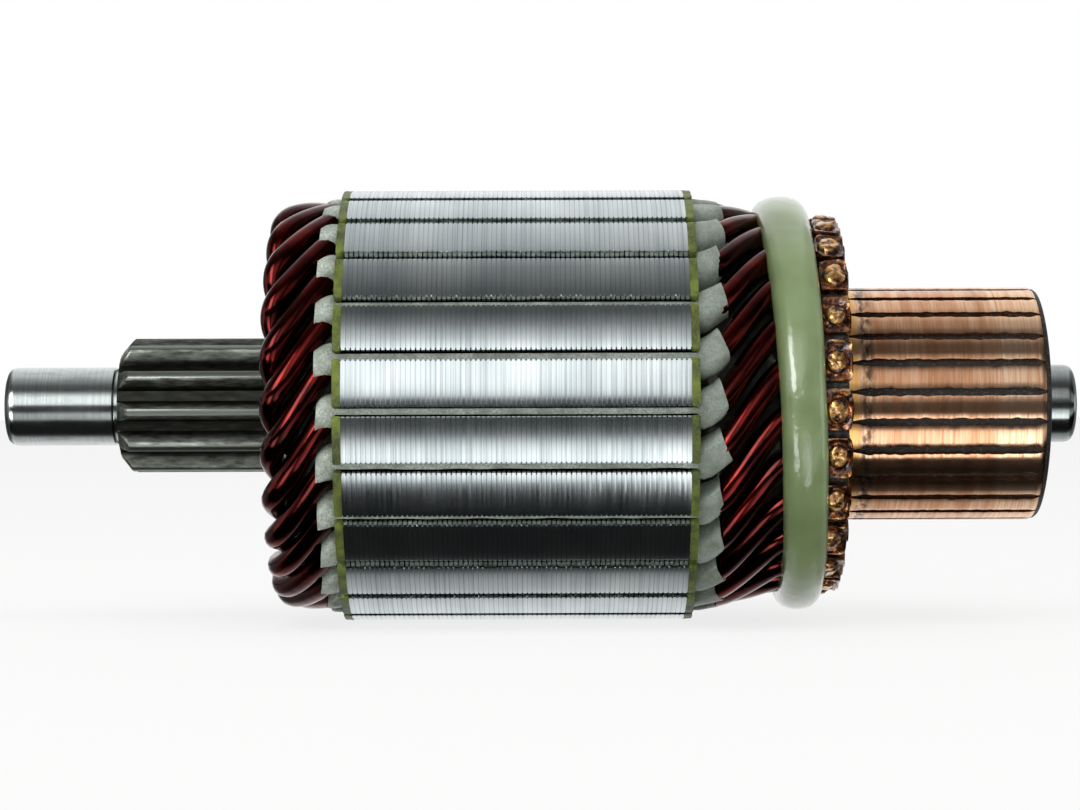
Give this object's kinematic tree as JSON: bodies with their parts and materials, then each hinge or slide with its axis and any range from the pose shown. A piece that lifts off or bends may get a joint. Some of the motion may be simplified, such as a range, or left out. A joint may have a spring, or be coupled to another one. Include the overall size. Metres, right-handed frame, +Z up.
{
  "type": "motor armature",
  "caption": "Wound armature of a geared starter motor: shaft with sun pinion, slotted laminated core, hairpin wave winding, resin band and moulded commutator.",
  "frame": {"origin": "on the shaft axis, at the middle of the drive-end journal", "axes": "+X along the shaft, from the drive end to the commutator; +Z up as it lies in the picture"},
  "size_m": [0.149, 0.0602, 0.0602],
  "materials": {
    "shaft_steel": "ground journals and hobbed teeth, bare steel",
    "core_steel": "stack of bare punched sheets with fine vertical joints",
    "insulator": "olive green sheet, satin",
    "slot_paper": "pale grey-green fibrous insulating paper",
    "hub_resin": "dark brown moulded phenolic resin",
    "band_resin": "pale green varnished resin-glass band, glossy",
    "enamelled_copper": "copper under dark red-brown glossy enamel",
    "commutator_copper": "bare copper with turned brush track, varnished risers"
  },
  "bodies": {
    "root": {"shaft": "shaft_steel", "lamination_stack": "core_steel", "drive_end_insulator": "insulator", "commutator_end_insulator": "insulator", "slot_liners": "slot_paper", "commutator_hub": "hub_resin", "banding_ring": "band_resin", "hairpin_01": "enamelled_copper", "hairpin_02": "enamelled_copper", "hairpin_03": "enamelled_copper", "hairpin_04": "enamelled_copper", "hairpin_05": "enamelled_copper", "hairpin_06": "enamelled_copper", "hairpin_07": "enamelled_copper", "hairpin_08": "enamelled_copper", "hairpin_09": "enamelled_copper", "hairpin_10": "enamelled_copper", "hairpin_11": "enamelled_copper", "hairpin_12": "enamelled_copper", "hairpin_13": "enamelled_copper", "hairpin_14": "enamelled_copper", "hairpin_15": "enamelled_copper", "hairpin_16": "enamelled_copper", "hairpin_17": "enamelled_copper", "hairpin_18": "enamelled_copper", "hairpin_19": "enamelled_copper", "hairpin_20": "enamelled_copper", "hairpin_21": "enamelled_copper", "hairpin_22": "enamelled_copper", "hairpin_23": "enamelled_copper", "hairpin_24": "enamelled_copper", "hairpin_25": "enamelled_copper", "commutator_bar_01": "commutator_copper", "commutator_bar_02": "commutator_copper", "commutator_bar_03": "commutator_copper", "commutator_bar_04": "commutator_copper", "commutator_bar_05": "commutator_copper", "commutator_bar_06": "commutator_copper", "commutator_bar_07": "commutator_copper", "commutator_bar_08": "commutator_copper", "commutator_bar_09": "commutator_copper", "commutator_bar_10": "commutator_copper", "commutator_bar_11": "commutator_copper", "commutator_bar_12": "commutator_copper", "commutator_bar_13": "commutator_copper", "commutator_bar_14": "commutator_copper", "commutator_bar_15": "commutator_copper", "commutator_bar_16": "commutator_copper", "commutator_bar_17": "commutator_copper", "commutator_bar_18": "commutator_copper", "commutator_bar_19": "commutator_copper", "commutator_bar_20": "commutator_copper", "commutator_bar_21": "commutator_copper", "commutator_bar_22": "commutator_copper", "commutator_bar_23": "commutator_copper", "commutator_bar_24": "commutator_copper", "commutator_bar_25": "commutator_copper"}
  },
  "joints": []
}
